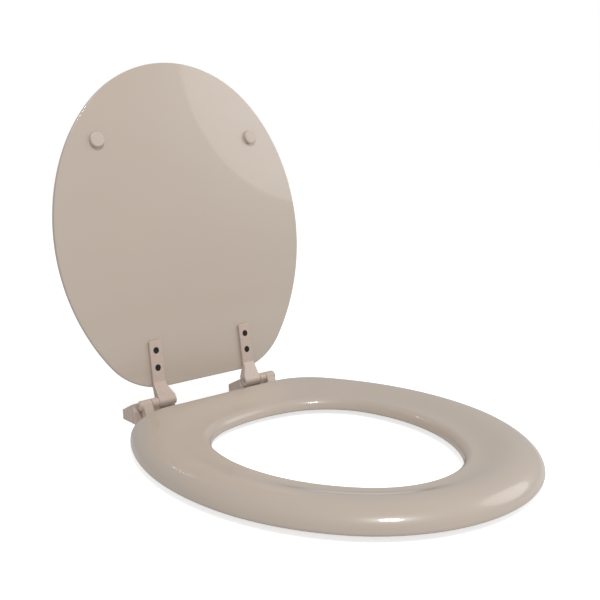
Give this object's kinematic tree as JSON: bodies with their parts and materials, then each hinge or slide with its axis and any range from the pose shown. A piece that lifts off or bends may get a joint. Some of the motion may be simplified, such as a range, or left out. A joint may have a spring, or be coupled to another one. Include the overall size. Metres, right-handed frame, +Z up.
{
  "type": "toilet seat",
  "caption": "Round-front toilet seat: a ring and a lid that swing on rear hinges with flip-open bolt caps.",
  "frame": {"origin": "midway between the two bolt holes, on the plane of the bowl's rim", "axes": "+X to the right across the seat, -Y towards the seat's front, +Z up"},
  "size_m": [0.367, 0.4956, 0.4397],
  "materials": {
    "bone_enamel": "moulded wood under glossy bone-coloured enamel",
    "hinge_plastic": "moulded bone-coloured plastic with a light gloss",
    "bumper_plastic": "soft bone-coloured plastic",
    "pin_steel": "plain steel rod",
    "screw_steel": "dark plated steel"
  },
  "bodies": {
    "bases": {"hinge_base_left": "hinge_plastic", "hinge_base_right": "hinge_plastic", "hinge_pin_left": "pin_steel", "hinge_pin_right": "pin_steel"},
    "seat": {"seat_ring": "bone_enamel", "seat_leaf_left": "hinge_plastic", "seat_leaf_right": "hinge_plastic", "seat_screw_left_1": "screw_steel", "seat_screw_left_2": "screw_steel", "seat_screw_right_1": "screw_steel", "seat_screw_right_2": "screw_steel", "seat_bumper_rear_left": "bumper_plastic", "seat_bumper_rear_right": "bumper_plastic", "seat_bumper_front_left": "bumper_plastic", "seat_bumper_front_right": "bumper_plastic"},
    "lid": {"lid": "bone_enamel", "lid_leaf_left": "hinge_plastic", "lid_leaf_right": "hinge_plastic", "lid_screw_left_1": "screw_steel", "lid_screw_left_2": "screw_steel", "lid_screw_right_1": "screw_steel", "lid_screw_right_2": "screw_steel", "lid_bumper_left": "bumper_plastic", "lid_bumper_right": "bumper_plastic"},
    "cap_left": {"bolt_cap_left": "hinge_plastic"},
    "cap_right": {"bolt_cap_right": "hinge_plastic"}
  },
  "joints": [
    {"name": "lid_hinge", "type": "hinge", "parent": "bases", "child": "lid", "pos_m": [0, -0.018, 0.021], "axis": [1, 0, 0], "range_deg": [0, 96.7]},
    {"name": "seat_hinge", "type": "hinge", "parent": "bases", "child": "seat", "pos_m": [0, -0.018, 0.021], "axis": [-1, 0, 0], "range_deg": [0, 96.7]},
    {"name": "cap_left_hinge", "type": "hinge", "parent": "bases", "child": "cap_left", "pos_m": [-0.08, 0.0162, 0.0057], "axis": [-1, 0, 0], "range_deg": [0, 90]},
    {"name": "cap_right_hinge", "type": "hinge", "parent": "bases", "child": "cap_right", "pos_m": [0.08, 0.0162, 0.0057], "axis": [-1, 0, 0], "range_deg": [0, 90]}
  ]
}
